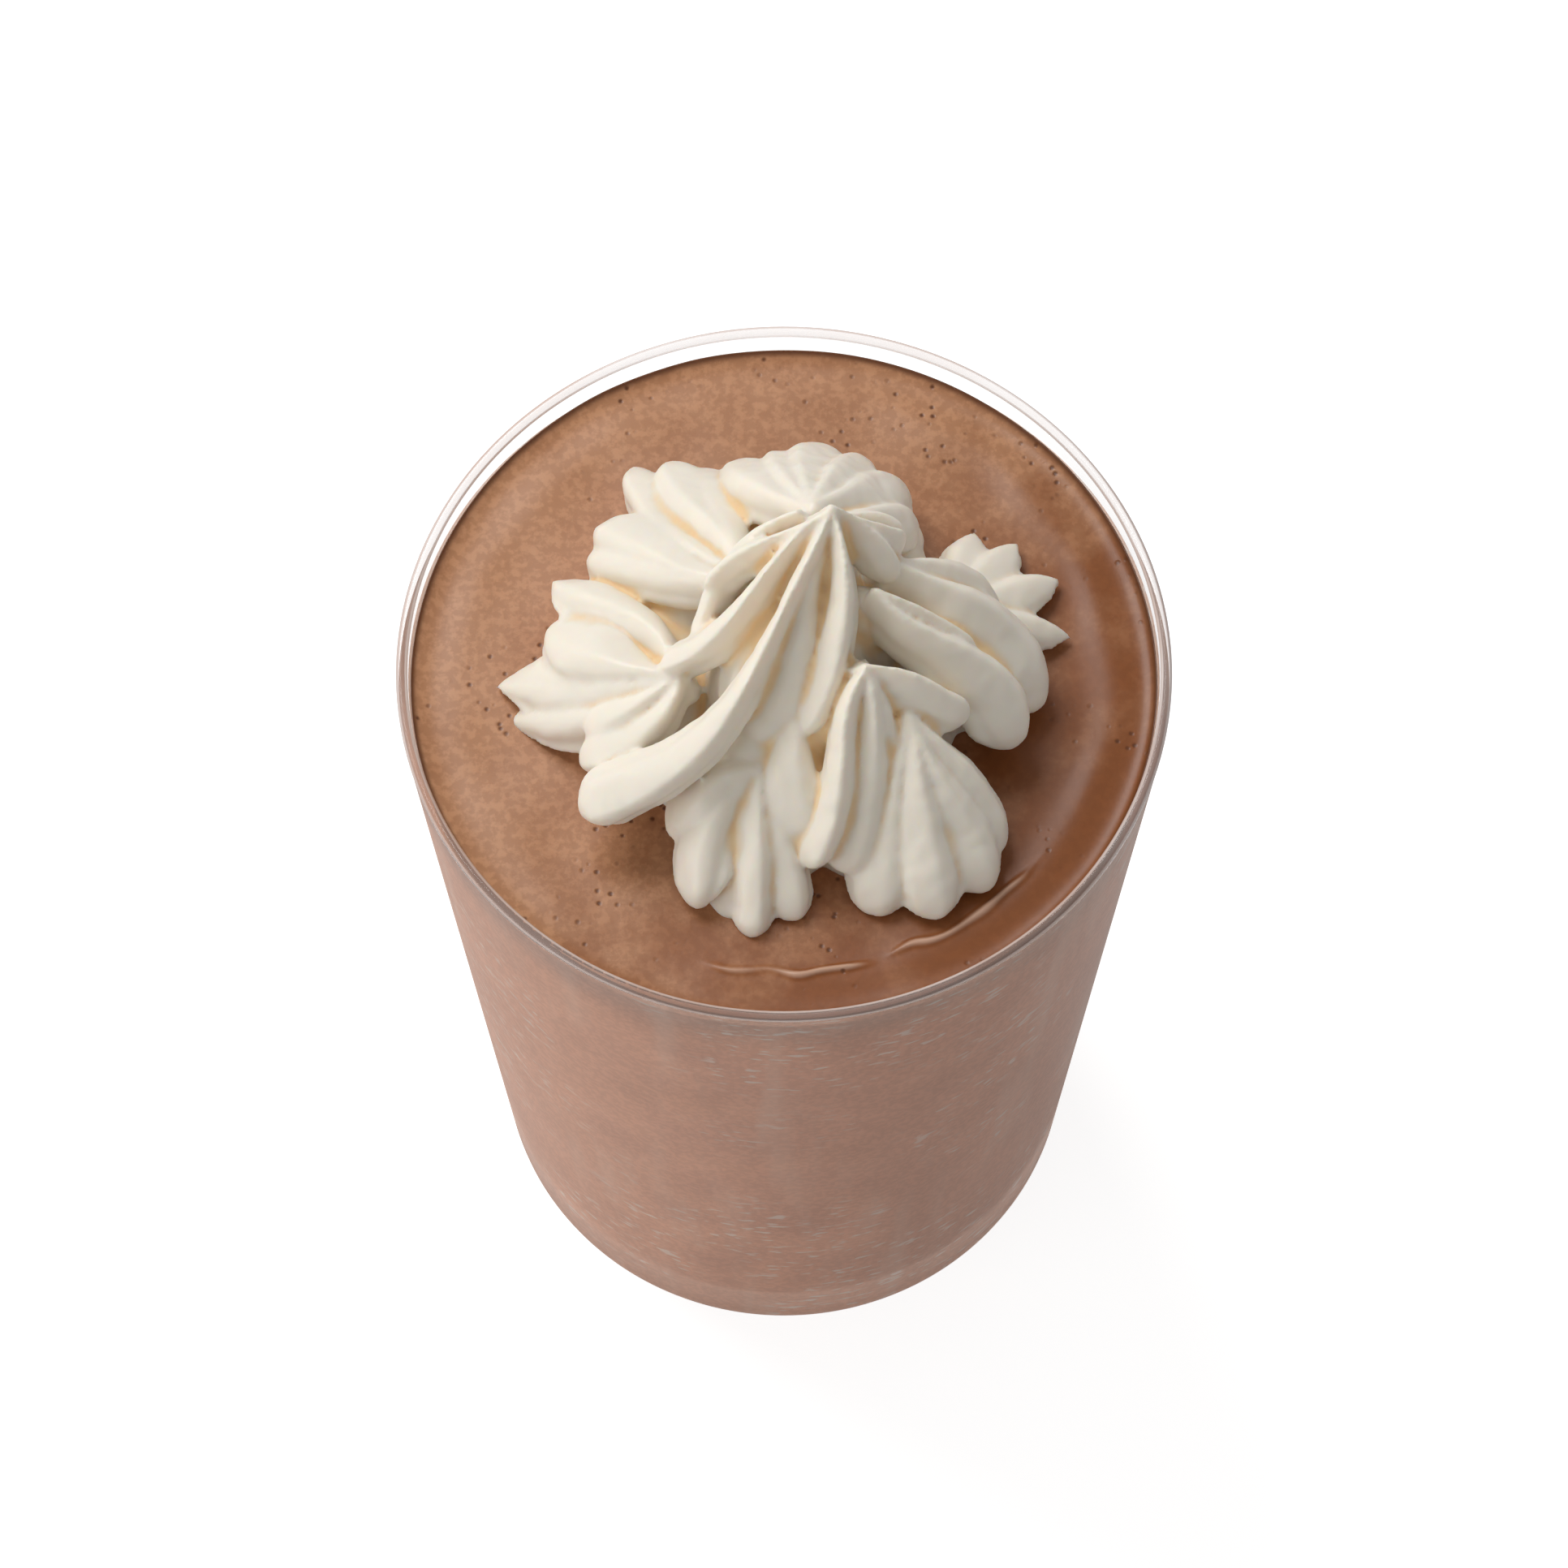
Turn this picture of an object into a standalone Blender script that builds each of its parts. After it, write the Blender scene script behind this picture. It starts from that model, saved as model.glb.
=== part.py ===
"""A chocolate milkshake in a short tapered tumbler, topped with piped whipped cream.

Metres, +Z up. The origin is the centre of the tumbler's base, on the surface that it stands on.
The photograph's camera looks along +Y, down onto the cream.
"""

from collections import namedtuple
from math import acos, copysign, cos, hypot, pi, radians, sin, tan

import bmesh
import bpy
from mathutils import Vector

MM = 0.001

# Tumbler
GLASS_HEIGHT = 112.0 * MM
RIM_RADIUS = 42.0 * MM
BASE_RADIUS = 33.6 * MM
RIM_WALL = 1.2 * MM
FOOT_WALL = 2.4 * MM
FLOOR_THICKNESS = 7.0 * MM
FOOT_CORNER = 5.5 * MM
FLOOR_CORNER = 6.0 * MM
GLASS_SEGMENTS = 48

# Milkshake
DRINK_LEVEL = 107.8 * MM
CLEARANCE = 0.3 * MM

# Whipped cream
RIDGE_SIDES = 8
RIDGE_RINGS = 10
ROOT_RINGS = 0.1
TIP_RINGS = 0.3
BEND_PULL = 0.38
CREST_STEP = 0.03
SWELL_SPAN = 0.35
THINNING = 0.4
LONGEST_CAP = 0.45
SHARPNESS = 0.6
MOUND_SIDES = 14
MOUND_RINGS = 8
SKIRT = 3.0
SHARP_EDGE = radians(40)

# The section of a ridge: how strongly it is pinched towards the crest, how far the crest leans to one side,
# and how much its foot spreads
PINCH = 1.5
TILT = 0.35
FOOT_FLARE = 1.1

# A mound is the plain dome under one squeeze of the piping bag: its centre, its top above the drink, and its
# half widths along and across a turn in degrees. All lengths here are in millimetres.
Mound = namedtuple("Mound", "x y top along across turn")

# A ridge is one fold that a tooth of the star nozzle leaves. It runs from the top of its squeeze to its
# tip, which lies `reach` away in the direction `turn`, `end` above the drink. It sets out `leave` degrees
# off that direction and arrives `arrive` degrees off it, and rises `arch` above the straight slope. Its
# crest is `narrow` wide where it starts and `wide` near the tip. `point` is 0 for a round tip and 1 for a
# sharp one, `wave` is how far it sways to the sides on its way, and `swell` is the share of its way at
# which it has widened half.
Ridge = namedtuple(
    "Ridge", "turn reach end leave arrive arch narrow wide point wave swell", defaults=(0.0, 0.45)
)

# A squeeze is a fan of ridges from one top, each `depth` deep at its start.
Squeeze = namedtuple("Squeeze", "x y top depth ridges")

SQUEEZES = {
    "peak": Squeeze(4.8, 6.5, 28.5, 8.0, (
        Ridge(-136, 38.2, 7.0, 34, -34, 3.0, 2.0, 5.4, 0.0, -1.3, 0.66),
        Ridge(-99, 21.0, 14.0, 28, -30, 2.0, 2.0, 3.6, 0.1),
        Ridge(-148, 22.6, 14.5, -8, -46, 1.5, 2.0, 3.2, 0.1),
        Ridge(-160, 15.0, 19.0, 10, 30, 1.0, 1.6, 2.4, 0.1),
        Ridge(-34, 9.5, 20.0, 20, -30, 1.0, 1.6, 3.0, 0.1),
        Ridge(6, 9.5, 20.0, -20, 30, 1.0, 1.6, 3.0, 0.1),
    )),
    "trough": Squeeze(3.8, 3.0, 25.0, 8.0, (
        Ridge(-116, 19.0, 12.5, 0, -6, 1.0, 3.0, 9.5, 0.0),
    )),
    "shoulder": Squeeze(1.5, 8.0, 25.0, 6.0, (
        Ridge(-135, 16.5, 14.5, -38, 31, 1.0, 1.6, 2.6, 0.1),
    )),
    "left": Squeeze(-11.5, -6.0, 14.5, 6.0, (
        Ridge(130, 21.8, 6.0, -35, 12, 1.0, 2.6, 5.6, 0.5),
        Ridge(144, 18.0, 6.5, 20, -10, 1.2, 3.0, 9.0, 0.2),
        Ridge(160, 18.4, 4.0, 30, 0, 0.4, 3.0, 7.0, 0.4),
        Ridge(165, 21.4, 2.0, 30, 10, 0.2, 2.6, 7.5, 0.9),
        Ridge(176, 19.3, 1.0, 40, -3, 0.6, 2.6, 7.5, 0.8),
        Ridge(-149, 13.6, 6.0, 60, -42, 1.8, 2.4, 5.0, 0.1),
        Ridge(-160, 11.6, 8.0, 20, -7, 1.0, 2.2, 4.6, 0.2),
    )),
    "back left": Squeeze(-4.0, 4.0, 18.0, 6.0, (
        Ridge(103, 21.5, 5.0, -6, -6, 1.4, 3.0, 6.0, 0.3),
        Ridge(113, 23.8, 5.0, -11, -6, 1.0, 3.0, 6.4, 0.5),
        Ridge(122, 25.7, 3.0, 16, -17, 0.2, 2.6, 4.2, 0.5),
        Ridge(143, 21.4, 6.0, 35, 6, 1.6, 3.0, 6.0, 0.0),
        Ridge(152, 20.6, 5.0, 30, 6, 1.6, 3.0, 5.6, 0.0),
    )),
    "back": Squeeze(3.5, 9.5, 22.5, 6.0, (
        Ridge(121, 19.0, 5.0, 20, -14, 1.6, 3.0, 6.0, 0.3),
        Ridge(104, 18.0, 5.0, 10, -14, 1.6, 3.0, 5.2, 0.3),
        Ridge(89, 19.2, 4.0, 10, -10, 1.4, 3.0, 6.6, 0.2),
        Ridge(71, 17.8, 5.0, 6, -3, 1.5, 3.0, 5.2, 0.3),
        Ridge(51, 17.0, 5.0, -12, -8, 1.5, 3.0, 6.6, 0.2),
        Ridge(31, 15.0, 3.0, 0, -10, 1.5, 3.0, 6.0, 0.2),
    )),
    "back right": Squeeze(5.5, 9.0, 21.0, 6.0, (
        Ridge(38, 12.4, 8.0, -10, 13, 1.5, 2.4, 4.8, 0.1),
        Ridge(-5, 8.0, 15.5, 20, -60, 1.0, 2.0, 3.2, 0.0),
    )),
    "right": Squeeze(9.5, 0.0, 21.5, 8.0, (
        Ridge(-34, 20.2, 5.5, -20, -50, 2.5, 2.4, 6.6, 0.0),
        Ridge(-16, 12.7, 13.5, 3, -2, 1.0, 2.0, 3.0, 0.1),
    )),
    "far right": Squeeze(11.0, 4.0, 20.0, 7.0, (
        Ridge(-27, 20.4, 4.0, 10, -27, 2.5, 3.0, 8.6, 0.0),
        Ridge(4, 14.0, 6.0, 10, -20, 2.0, 3.0, 7.0, 0.0),
    )),
    "right foot": Squeeze(18.0, 5.0, 6.0, 4.0, (
        Ridge(77, 13.6, 2.0, 0, 0, 0.8, 4.0, 5.4, 1.0),
        Ridge(56, 14.2, 2.0, 0, 0, 0.8, 4.0, 5.0, 1.0),
        Ridge(29, 14.4, 2.0, 0, 0, 0.8, 4.0, 4.8, 1.0),
        Ridge(-1, 13.9, 2.0, 0, 0, 0.8, 4.0, 4.0, 1.0),
    )),
    "hook": Squeeze(8.3, -8.5, 20.5, 7.0, (
        Ridge(-110, 18.5, 5.5, -20, -35, 2.5, 2.2, 3.6, 0.0),
        Ridge(-7, 12.6, 12.0, 10, 8, 2.0, 2.0, 3.2, 0.0),
        Ridge(-96, 17.6, 4.5, 30, 0, 1.0, 2.4, 6.8, 0.0),
        Ridge(-70, 10.5, 8.0, 20, -12, 1.0, 2.2, 3.4, 0.1),
    )),
    "middle": Squeeze(0.5, -11.5, 15.0, 6.0, (
        Ridge(-82, 13.6, 4.5, -1, 20, 1.6, 4.0, 8.0, 0.2),
    )),
    "front right": Squeeze(13.0, -11.5, 15.0, 5.0, (
        Ridge(-79, 18.9, 2.0, 0, 7, 1.6, 2.6, 5.8, 0.0),
        Ridge(-59, 17.7, 2.0, -10, -8, 1.8, 2.6, 5.8, 0.0),
        Ridge(-44, 15.3, 2.5, 8, -12, 1.8, 2.6, 5.2, 0.0),
        Ridge(-101, 18.2, 1.5, -5, 6, 1.0, 2.6, 6.0, 0.0),
    )),
    "front left": Squeeze(-3.0, -15.0, 11.0, 5.0, (
        Ridge(-153, 11.8, 4.0, -22, 9, 2.5, 4.0, 7.0, 0.1),
        Ridge(-118, 15.4, 2.0, -22, 40, 1.5, 3.0, 5.6, 0.1),
        Ridge(-91, 16.5, 1.0, 1, -1, 1.5, 2.4, 3.6, 0.0),
        Ridge(-73, 15.4, 1.5, -10, -8, 1.0, 3.0, 4.4, 0.0),
        Ridge(-104, 14.6, 0.5, 0, 0, 1.0, 3.0, 5.0, 0.1),
    )),
}

MOUNDS = (
    Mound(0.0, -1.0, 8.0, 19.5, 19.0, 0),
    Mound(1.5, -1.0, 19.8, 14.0, 10.0, -120),
    Mound(3.5, 4.0, 25.0, 7.0, 5.0, -110),
    Mound(-13.0, -1.0, 8.5, 12.0, 12.0, 0),
    Mound(-7.0, 9.0, 11.3, 12.0, 11.0, 120),
    Mound(4.0, 12.0, 13.0, 12.0, 9.0, 0),
    Mound(15.0, 1.0, 10.8, 9.0, 7.0, -30),
    Mound(9.0, -15.0, 9.5, 8.0, 9.0, 0),
    Mound(-2.0, -17.0, 6.5, 8.0, 8.0, 0),
    Mound(3.5, -9.5, 16.0, 7.0, 6.0, 0),
    Mound(8.0, 0.5, 19.0, 6.0, 5.0, 0),
    Mound(-3.0, -12.5, 12.0, 7.0, 6.0, 0),
)


def clear_scene():
    for obj in list(bpy.data.objects):
        bpy.data.objects.remove(obj, do_unlink=True)


def new_collection(name):
    collection = bpy.data.collections.new(name)
    bpy.context.scene.collection.children.link(collection)
    return collection


def new_material(name, colour, roughness, metallic=0.0, transmission=0.0):
    material = bpy.data.materials.new(name)
    material.use_nodes = True
    shader = material.node_tree.nodes["Principled BSDF"]
    shader.inputs["Base Color"].default_value = (*colour, 1.0)
    shader.inputs["Roughness"].default_value = roughness
    shader.inputs["Metallic"].default_value = metallic
    shader.inputs["Transmission Weight"].default_value = transmission
    material.diffuse_color = (*colour, 1.0)
    return material


def mesh_object(name, bm, collection):
    mesh = bpy.data.meshes.new(name)
    bm.to_mesh(mesh)
    bm.free()
    obj = bpy.data.objects.new(name, mesh)
    collection.objects.link(obj)
    return obj


def arc(centre_x, centre_z, radius, start, end, steps):
    """Points (x, z) along an arc from the start angle to the end angle, in degrees."""
    points = []
    for step in range(steps + 1):
        angle = radians(start + (end - start) * step / steps)
        points.append((centre_x + radius * cos(angle), centre_z + radius * sin(angle)))
    return points


def turned(name, profile, segments, collection):
    """A solid of revolution from (x, z) points that run down its outer side."""
    bm = bmesh.new()
    points = [bm.verts.new((x, 0, z)) for x, z in profile]
    for first, second in zip(points, points[1:]):
        bm.edges.new((first, second))
    obj = mesh_object(name, bm, collection)
    screw = obj.modifiers.new("Screw", "SCREW")
    screw.steps = segments
    screw.render_steps = segments
    screw.use_merge_vertices = True
    screw.merge_threshold = 0.01 * MM
    screw.use_smooth_shade = True
    return obj


def outer_radius(z):
    return BASE_RADIUS + (RIM_RADIUS - BASE_RADIUS) * z / GLASS_HEIGHT


def wall(z):
    """Wall thickness, which grows from the rim to the foot."""
    return FOOT_WALL + (RIM_WALL - FOOT_WALL) * z / GLASS_HEIGHT


def inner_radius(z):
    return outer_radius(z) - wall(z)


def lean(radius_at):
    """Angle of a wall from the vertical, in degrees."""
    rise = GLASS_HEIGHT - FLOOR_THICKNESS
    return (radius_at(GLASS_HEIGHT) - radius_at(FLOOR_THICKNESS)) / rise * 180 / pi


def corner(radius_at, floor, size, steps):
    """The rounded corner between a flat floor and a leaning wall, from the wall down to the floor."""
    tilt = radians(lean(radius_at))
    reach = size * (1 / cos(tilt) - tan(tilt))
    centre_x = radius_at(floor) - reach
    return arc(centre_x, floor + size, size, -lean(radius_at), -90, steps)


def glass(collection):
    lip = RIM_WALL / 2
    lip_centre = RIM_RADIUS - lip
    outside = arc(lip_centre, GLASS_HEIGHT - lip, lip, 90, 0, 3)
    outside += corner(outer_radius, 0.0, FOOT_CORNER, 5)
    outside.append((0.0, 0.0))
    inside = corner(inner_radius, FLOOR_THICKNESS, FLOOR_CORNER, 4)
    inside.append((0.0, FLOOR_THICKNESS))
    inside.reverse()
    inside += arc(lip_centre, GLASS_HEIGHT - lip, lip, 180, 90, 3)[:-1]
    obj = turned("glass", inside + outside, GLASS_SEGMENTS, collection)
    obj.data.materials.append(new_material("Clear glass", (0.95, 0.97, 0.97), 0.03, transmission=1.0))
    return obj


def milkshake(collection):
    def radius_at(z):
        return inner_radius(z) - CLEARANCE

    floor = FLOOR_THICKNESS + CLEARANCE
    profile = [(0.0, DRINK_LEVEL), (radius_at(DRINK_LEVEL), DRINK_LEVEL)]
    profile += corner(radius_at, floor, FLOOR_CORNER, 4)
    profile.append((0.0, floor))
    obj = turned("milkshake", profile, GLASS_SEGMENTS, collection)
    obj.data.materials.append(new_material("Chocolate milkshake", (0.30, 0.14, 0.075), 0.35))
    return obj


def smooth_step(low, high, value):
    """0 below low, 1 above high, and an even S between them."""
    share = max(0.0, min(1.0, (value - low) / (high - low)))
    return share * share * (3 - 2 * share)


def crest(squeeze, ridge, s):
    """The point on a ridge's crest line a share s of the way from its start to its tip."""
    turn = radians(ridge.turn)
    leave = radians(ridge.turn + ridge.leave)
    arrive = radians(ridge.turn + ridge.arrive)
    drop = ridge.end - squeeze.top
    start = Vector((squeeze.x, squeeze.y, squeeze.top))
    tip = start + Vector((ridge.reach * cos(turn), ridge.reach * sin(turn), drop))
    pull = BEND_PULL * ridge.reach
    near = start + Vector((pull * cos(leave), pull * sin(leave), drop / 3))
    far = tip - Vector((pull * cos(arrive), pull * sin(arrive), drop / 3))
    point = (
        start * (1 - s) ** 3
        + near * 3 * s * (1 - s) ** 2
        + far * 3 * s * s * (1 - s)
        + tip * s ** 3
    )
    sway = ridge.wave * sin(2 * pi * s)
    point += Vector((-sway * sin(turn), sway * cos(turn), ridge.arch * 4 * s * (1 - s)))
    return point


def along_ridge(ridge, ring):
    """For a ring of the sphere, its share of the crest line and its share of the full section there."""
    cap = min(LONGEST_CAP, (0.5 + ridge.point) * ridge.wide / ridge.reach)
    if ring < ROOT_RINGS:
        angle = ring / ROOT_RINGS * pi / 2
        return 0.0, sin(angle)
    if ring <= 1 - TIP_RINGS:
        return (1 - cap) * (ring - ROOT_RINGS) / (1 - ROOT_RINGS - TIP_RINGS), 1.0
    angle = (ring - 1 + TIP_RINGS) / TIP_RINGS * pi / 2
    return 1 - cap + cap * sin(angle), max(cos(angle), 0.0) ** (1 + SHARPNESS * ridge.point)


def ridge_mesh(squeeze, ridge):
    """A sphere drawn out along the crest line into a blade with a pinched crest and a spread foot."""
    bm = bmesh.new()
    bmesh.ops.create_uvsphere(bm, u_segments=RIDGE_SIDES, v_segments=RIDGE_RINGS, radius=1.0)
    heart = Vector((squeeze.x, squeeze.y, 0.0))
    for vert in bm.verts:
        across, lift, along = vert.co
        s, full = along_ridge(ridge, acos(max(-1.0, min(1.0, -along))) / pi)
        place = crest(squeeze, ridge, s)
        ahead = crest(squeeze, ridge, min(s + CREST_STEP, 1))
        behind = crest(squeeze, ridge, max(s - CREST_STEP, 0))
        tangent = (ahead - behind).normalized()
        outward = place - heart
        outward -= tangent * outward.dot(tangent)
        outward.normalize()
        side = outward.cross(tangent)
        round_about = max(hypot(across, lift), 1e-6)
        across, lift = across / round_about, lift / round_about
        if lift > 0:
            across = copysign(abs(across) ** PINCH, across) + TILT * lift * lift
        swell = smooth_step(ridge.swell - SWELL_SPAN, ridge.swell + SWELL_SPAN, s)
        width = ridge.narrow + (ridge.wide - ridge.narrow) * swell
        width *= 1 + FOOT_FLARE * max(0.0, -lift)
        depth = squeeze.depth * (1 - THINNING * s)
        vert.co = place + side * (width / 2 * across * full) + outward * (depth / 2 * (lift * full - 1))
    raise_to_drink(bm)
    return bm


def mound_mesh(mound):
    """A dome over the drink with a shallow skirt that reaches below its surface."""
    bm = bmesh.new()
    bmesh.ops.create_uvsphere(bm, u_segments=MOUND_SIDES, v_segments=MOUND_RINGS, radius=1.0)
    turn = radians(mound.turn)
    for vert in bm.verts:
        along, across, up = vert.co.x * mound.along, vert.co.y * mound.across, vert.co.z
        vert.co = (
            mound.x + along * cos(turn) - across * sin(turn),
            mound.y + along * sin(turn) + across * cos(turn),
            mound.top * up if up > 0 else SKIRT * up,
        )
    raise_to_drink(bm)
    return bm


def raise_to_drink(bm):
    """Turns millimetres above the drink into metres above the table."""
    for vert in bm.verts:
        vert.co *= MM
        vert.co.z += DRINK_LEVEL


def apply_modifiers(obj):
    """Puts the evaluated mesh in place of the object's own."""
    graph = bpy.context.evaluated_depsgraph_get()
    mesh = bpy.data.meshes.new_from_object(obj.evaluated_get(graph))
    obj.modifiers.clear()
    obj.data = mesh


def fill_hollows(obj):
    """Drops every shell but the widest, so that no sealed hollow or loose scrap stays."""
    bm = bmesh.new()
    bm.from_mesh(obj.data)
    shells = []
    waiting = set(bm.faces)
    while waiting:
        shell = {waiting.pop()}
        edge_of_shell = list(shell)
        while edge_of_shell:
            face = edge_of_shell.pop()
            for edge in face.edges:
                for neighbour in edge.link_faces:
                    if neighbour in waiting:
                        waiting.remove(neighbour)
                        shell.add(neighbour)
                        edge_of_shell.append(neighbour)
        shells.append(shell)
    shells.sort(key=lambda shell: sum(face.calc_area() for face in shell))
    scraps = [face for shell in shells[:-1] for face in shell]
    bmesh.ops.delete(bm, geom=scraps, context="FACES")
    bm.to_mesh(obj.data)
    bm.free()


def whipped_cream(collection):
    """All ridges and mounds fused into one heap, cut off level just above the drink."""
    pieces = new_collection("Cream pieces")
    for name, squeeze in SQUEEZES.items():
        for ridge in squeeze.ridges:
            mesh_object(f"{name} ridge", ridge_mesh(squeeze, ridge), pieces)
    for mound in MOUNDS[1:]:
        mesh_object("mound", mound_mesh(mound), pieces)
    obj = mesh_object("whipped_cream", mound_mesh(MOUNDS[0]), collection)
    union = obj.modifiers.new("Fuse", "BOOLEAN")
    union.operation = "UNION"
    union.solver = "MANIFOLD"
    union.operand_type = "COLLECTION"
    union.collection = pieces
    cutters = new_collection("Cutters")
    bm = bmesh.new()
    bmesh.ops.create_cube(bm, size=1.0)
    block = 2 * RIM_RADIUS
    for vert in bm.verts:
        height = DRINK_LEVEL + CLEARANCE + (vert.co.z - 0.5) * block
        vert.co = (vert.co.x * block, vert.co.y * block, height)
    cutter = mesh_object("Drink surface", bm, cutters)
    cutter.hide_render = True
    cutter.display_type = "WIRE"
    cut = obj.modifiers.new("Level", "BOOLEAN")
    cut.operation = "DIFFERENCE"
    cut.solver = "MANIFOLD"
    cut.object = cutter
    apply_modifiers(obj)
    fill_hollows(obj)
    for piece in list(pieces.objects):
        bpy.data.objects.remove(piece, do_unlink=True)
    bpy.data.collections.remove(pieces)
    obj.data.shade_smooth()
    obj.data.set_sharp_from_angle(angle=SHARP_EDGE)
    obj.data.materials.clear()
    obj.data.materials.append(new_material("Whipped cream", (0.92, 0.87, 0.78), 0.5))
    return obj


def main():
    clear_scene()
    collection = new_collection("Chocolate milkshake")
    glass(collection)
    milkshake(collection)
    whipped_cream(collection)


if __name__ == "__main__":
    main()
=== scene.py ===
from collections import namedtuple
from math import acos, atan2, copysign, cos, exp, hypot, pi, radians, sin, tan

import bmesh
import bpy
import numpy as np
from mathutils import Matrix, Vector, noise


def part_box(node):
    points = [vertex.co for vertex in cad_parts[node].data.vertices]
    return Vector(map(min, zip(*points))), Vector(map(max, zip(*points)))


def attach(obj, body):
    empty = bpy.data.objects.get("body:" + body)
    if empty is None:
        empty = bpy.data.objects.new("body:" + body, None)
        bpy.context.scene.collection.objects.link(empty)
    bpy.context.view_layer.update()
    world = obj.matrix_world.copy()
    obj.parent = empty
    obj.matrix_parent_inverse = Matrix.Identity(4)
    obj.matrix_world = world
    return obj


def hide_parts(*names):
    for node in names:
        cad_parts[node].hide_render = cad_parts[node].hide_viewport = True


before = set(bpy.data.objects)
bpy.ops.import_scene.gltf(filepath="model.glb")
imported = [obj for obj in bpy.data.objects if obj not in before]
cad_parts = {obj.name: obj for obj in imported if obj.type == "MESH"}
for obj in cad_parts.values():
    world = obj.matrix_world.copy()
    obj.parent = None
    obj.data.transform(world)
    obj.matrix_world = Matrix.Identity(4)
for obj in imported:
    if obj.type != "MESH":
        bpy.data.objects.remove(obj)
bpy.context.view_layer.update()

bl_info = {
    "name": "Chocolate Milkshake",
    "version": (1, 0, 0),
    "blender": (4, 5, 0),
    "location": "3D View > Sidebar > Milkshake",
    "description": "Dresses a tumbler of chocolate milkshake with piped whipped cream",
    "category": "Add Mesh",
}

MM = 0.001
GLASS_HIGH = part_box("glass")[1]
DRINK_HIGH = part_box("milkshake")[1]

# How near two lengths have to be to count as the same
NEAR = 0.01 * MM

# How finely the turned pieces are cut up: segments round the axis, steps down a wall or round a corner, and
# the share of its radius at which each flat face of the tumbler's floor has its only ring
TUMBLER_SEGMENTS = 192
TUMBLER_WALL_STEPS = 24
TUMBLER_CORNER_STEPS = 14
LIP_STEPS = 8
DRINK_SEGMENTS = 384
DRINK_WALL_STEPS = 20
DRINK_CORNER_STEPS = 10
FLOOR_RING = 0.6

# The outer wall's next ring lies this far below the ring where the mist ends
MIST_EDGE_ROOM = 4.0 * MM

# The places of the tumbler's finishes in its list of materials
CLEAR, RIM, MISTED, THIN = range(4)

# Nothing is misted under this height above the table
MIST_FOOT = 0.2 * MM

# The painted reflection lines along the lip start where it is seen this obliquely, and are full at the
# second value. Head on is 0 and edge on is 1.
LINES_START, LINES_FULL = 0.16, 0.36

# The underside of the cream lies this far below the drink's level, so that no gap shows between them
CREAM_SINK = 0.7 * MM

# The cream's unevenness: the scale of each noise and the height that it gives
UNEVENNESS = ((190, 0.28 * MM), (620, 0.09 * MM))

# The cream's hollows: how often its shape is evened out to find them, and how deep a full hollow is
HOLLOW_PASSES = 45
HOLLOW_DEPTH = 0.9 * MM

# How finely a ridge is cut up, and the shares of its rings that close its root and its tip
RIDGE_SIDES = 20
RIDGE_RINGS = 40
ROOT_RINGS = 0.1
TIP_RINGS = 0.3

# The course of a ridge, as shares: how far its bends pull along its reach, the step that gives its
# direction, half the stretch in which it widens, how much of its depth it loses, the longest tip, and how
# much a sharp tip is drawn in
BEND_PULL = 0.38
CREST_STEP = 0.03
SWELL_SPAN = 0.35
THINNING = 0.4
LONGEST_CAP = 0.45
SHARPNESS = 0.6

# How finely a mound is cut up, and how far its skirt reaches below the drink's level in millimetres
MOUND_SIDES = 48
MOUND_RINGS = 24
SKIRT = 3.0

# The section of a ridge: how strongly it is pinched towards the crest, how far the crest leans to one side,
# and how much its foot spreads
PINCH = 1.5
TILT = 0.35
FOOT_FLARE = 1.1

# The drink's top, in rings from its centre: few under the cream and many near the wall
COARSE_REACH = 28.0 * MM
COARSE_RINGS = 40
FINE_RINGS = 78

# The relief of the drink's top: how fast its rise at the wall fades, the low ring that stands highest on
# the right, and the slow waves all over. Each scale is that of the noise that moves or makes it.
RISE_FADE = 0.75 * MM
RING_RADIUS = 35.6 * MM
RING_WIDTH = 2.2 * MM
RING_HEIGHT = 0.35 * MM
RING_LEFT_SHARE = 0.25
RING_SWAY = 1.2 * MM
RING_SWAY_SCALE = 90
WAVE_HEIGHT = 0.16 * MM
WAVE_SCALE = 110

# The thin fold runs between two angles in degrees, fades out over a few degrees at each end, and is broken
# up on its way: its mean share, how strongly that changes, and how often per degree
FOLD_RADIUS = 34.7 * MM
FOLD_WIDTH = 0.4 * MM
FOLD_SWAY = 0.7 * MM
FOLD_SWAY_SCALE = 260
FOLD_START, FOLD_END = -110, -35
START_FADE, END_FADE = 14, 10
FOLD_MEAN, FOLD_CHANGE, FOLD_BREAKS = 0.75, 1.6, 0.09

# The two soft lights: where they stand and how wide they are. Both point at the cream.
KEY_PLACE = (-0.36, 0.42, 0.82)
KEY_WIDTH = 0.6
FILL_PLACE = (-0.95, -0.5, 0.27)
FILL_WIDTH = 0.9
LIGHT_TARGET = (0, 0, 100 * MM)

# How far the floor lies under the foot, how bright it glows, and how much brighter the camera sees it
FLOOR_DROP = 0.2 * MM
FLOOR_GLOW = 0.25
SEEN_GLOW = 0.55

# A mound is the plain dome under one squeeze of the piping bag: its centre, its top above the drink, and
# its half widths along and across a turn in degrees. All lengths here are in millimetres.
Mound = namedtuple("Mound", "x y top along across turn")

# A ridge is one fold that a tooth of the star nozzle leaves. It runs from the top of its squeeze to its
# tip, which lies `reach` away in the direction `turn`, `end` above the drink. It sets out `leave` degrees
# off that direction and arrives `arrive` degrees off it, and rises `arch` above the straight slope. Its
# crest is `narrow` wide where it starts and `wide` near the tip. `point` is 0 for a round tip and 1 for a
# sharp one, `wave` is how far it sways to the sides on its way, and `swell` is the share of its way at
# which it has widened half.
Ridge = namedtuple(
    "Ridge", "turn reach end leave arrive arch narrow wide point wave swell", defaults=(0.0, 0.45)
)

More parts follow.
